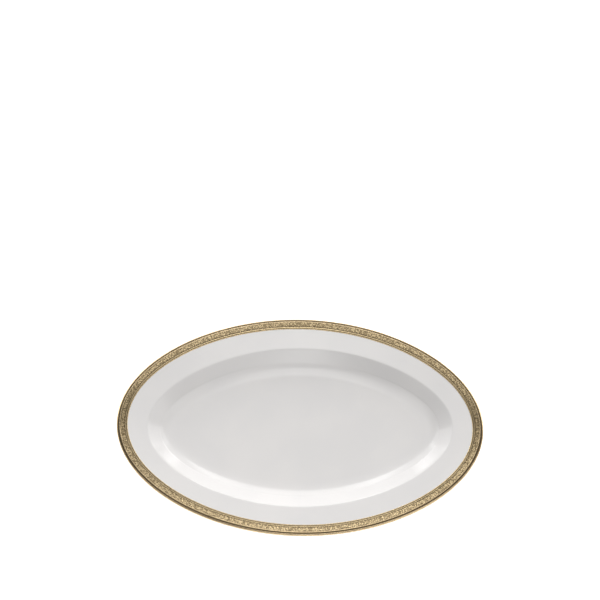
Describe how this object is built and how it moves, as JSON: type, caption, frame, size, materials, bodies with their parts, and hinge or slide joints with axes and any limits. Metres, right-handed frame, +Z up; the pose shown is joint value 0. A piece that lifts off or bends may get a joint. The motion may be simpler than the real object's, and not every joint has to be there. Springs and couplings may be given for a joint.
{
  "type": "serving platter",
  "caption": "Oval china serving platter: broad sloping rim with an etched gold border, shallow well, rolled gilded lip and unglazed foot ring.",
  "frame": {"origin": "on the face the foot ring stands on, below the middle of the platter", "axes": "+Z up; X along the platter's long axis, Y along its short axis"},
  "size_m": [0.36, 0.226, 0.024],
  "materials": {
    "bisque_porcelain": "matte",
    "clear_glaze": "gloss",
    "burnished_gold": "polished",
    "etched_gold": "satin"
  },
  "bodies": {
    "root": {"porcelain_body": "bisque_porcelain", "face_glaze": "clear_glaze", "back_glaze": "clear_glaze", "base_glaze": "clear_glaze", "lip_gilding": "burnished_gold", "etched_gold_band": "etched_gold", "inner_gold_line": "burnished_gold", "beaded_gold_edging": "burnished_gold"}
  },
  "joints": []
}
